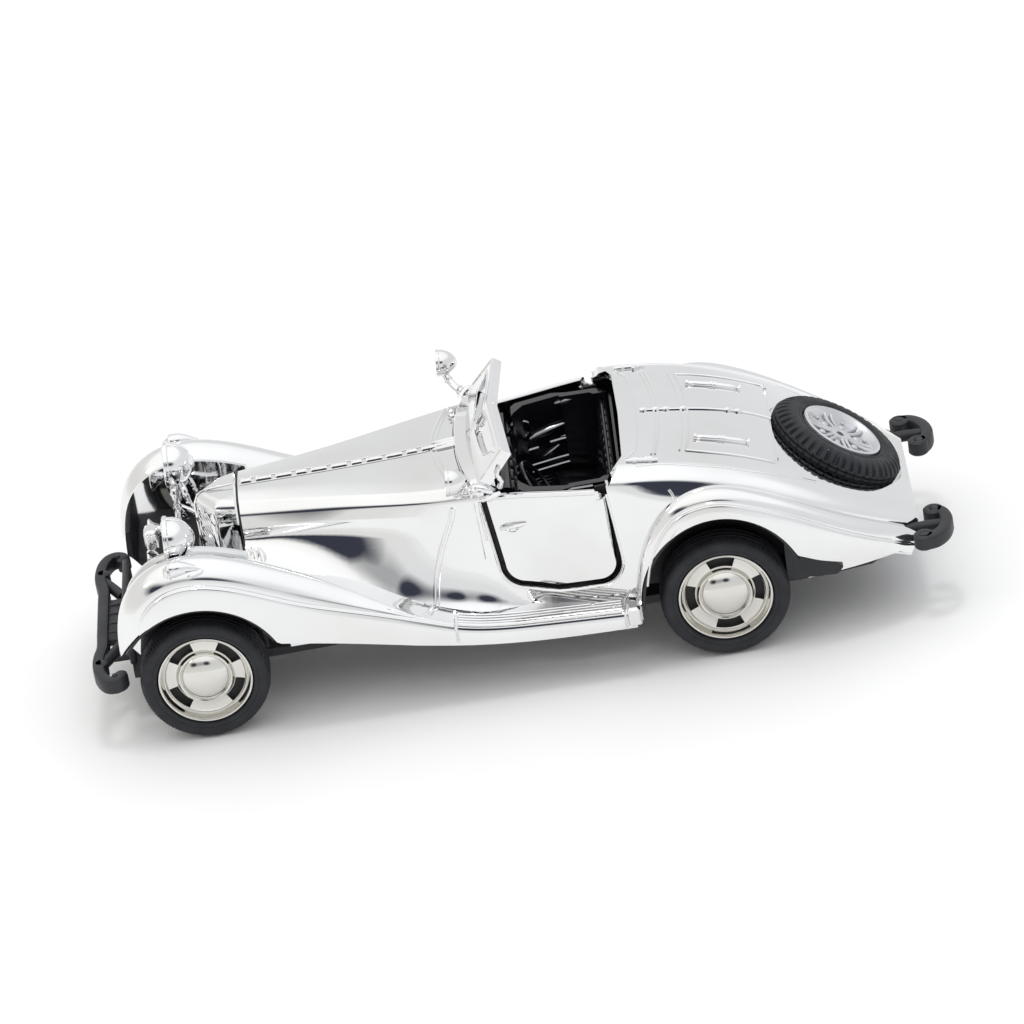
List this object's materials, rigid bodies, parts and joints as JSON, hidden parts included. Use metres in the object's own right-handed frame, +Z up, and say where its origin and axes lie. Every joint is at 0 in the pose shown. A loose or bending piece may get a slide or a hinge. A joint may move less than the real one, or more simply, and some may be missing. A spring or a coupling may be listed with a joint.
{
  "type": "diecast collector car",
  "caption": "Chrome-plated open two-seat roadster figurine on a black base, with rolling wheels, opening doors and a pull-back gear drive.",
  "frame": {"origin": "centre of the bounding box's footprint, on the ground the tyres stand on", "axes": "+X towards the tail, -Y the car's left side, +Z up"},
  "size_m": [0.1399, 0.0504, 0.0405],
  "materials": {
    "plated_diecast": "bright mirror plating over cast metal",
    "chrome_plastic": "bright mirror plating over moulded plastic",
    "black_plastic": "satin black moulded plastic",
    "gloss_interior": "glossy black moulded plastic",
    "tyre": "matt soft black rubber",
    "silver_plastic": "satin silver-grey plastic",
    "steel": "plain steel",
    "nylon": "natural white plastic"
  },
  "bodies": {
    "body": {"body_shell": "plated_diecast", "chassis_base": "black_plastic", "dashboard": "gloss_interior", "door_hinge_pin_left": "steel", "door_hinge_pin_right": "steel", "front_bumper": "black_plastic", "gear_pin": "steel", "grille_left": "chrome_plastic", "grille_right": "chrome_plastic", "headlamp_left": "chrome_plastic", "headlamp_right": "chrome_plastic", "horn_left": "chrome_plastic", "horn_right": "chrome_plastic", "interior_tub": "gloss_interior", "lamp_bar": "chrome_plastic", "mainspring": "steel", "motor_case": "black_plastic", "motor_cover": "black_plastic", "radiator_shell": "chrome_plastic", "rear_bumperette_left": "black_plastic", "rear_bumperette_right": "black_plastic", "screw_front": "steel", "screw_middle": "steel", "screw_rear": "steel", "seat_bench": "gloss_interior", "spare_rim": "silver_plastic", "spare_tyre": "tyre", "spotlight_left": "chrome_plastic", "spotlight_right": "chrome_plastic", "steering_wheel": "gloss_interior", "windscreen": "chrome_plastic"},
    "front_wheels": {"front_axle": "steel", "front_left_hubcap": "chrome_plastic", "front_left_tyre": "tyre", "front_right_hubcap": "chrome_plastic", "front_right_tyre": "tyre"},
    "rear_wheels": {"axle_pinion": "nylon", "rear_axle": "steel", "rear_left_hubcap": "chrome_plastic", "rear_left_tyre": "tyre", "rear_right_hubcap": "chrome_plastic", "rear_right_tyre": "tyre"},
    "winding": {"winding_gear": "nylon"},
    "door_left": {"door_left": "plated_diecast"},
    "door_right": {"door_right": "plated_diecast"}
  },
  "joints": [
    {"name": "front_axle_spin", "type": "hinge", "parent": "body", "child": "front_wheels", "pos_m": [-0.0518, 0, 0.0104], "axis": [0, 1, 0], "continuous": true},
    {"name": "rear_axle_spin", "type": "hinge", "parent": "body", "child": "rear_wheels", "pos_m": [0.0322, 0, 0.0104], "axis": [0, 1, 0], "continuous": true},
    {"name": "winding_gear_spin", "type": "hinge", "parent": "body", "child": "winding", "pos_m": [0.0395, 0, 0.0138], "axis": [0, 1, 0], "continuous": true},
    {"name": "door_left_swing", "type": "hinge", "parent": "body", "child": "door_left", "pos_m": [0.015, -0.01979, 0.024], "axis": [0, 0, 1], "range_deg": [0, 60]},
    {"name": "door_right_swing", "type": "hinge", "parent": "body", "child": "door_right", "pos_m": [0.015, 0.01979, 0.024], "axis": [0, 0, -1], "range_deg": [0, 60]}
  ],
  "couplings": [
    {"joint": "winding_gear_spin", "follows": "rear_axle_spin", "ratio": -0.45455}
  ]
}
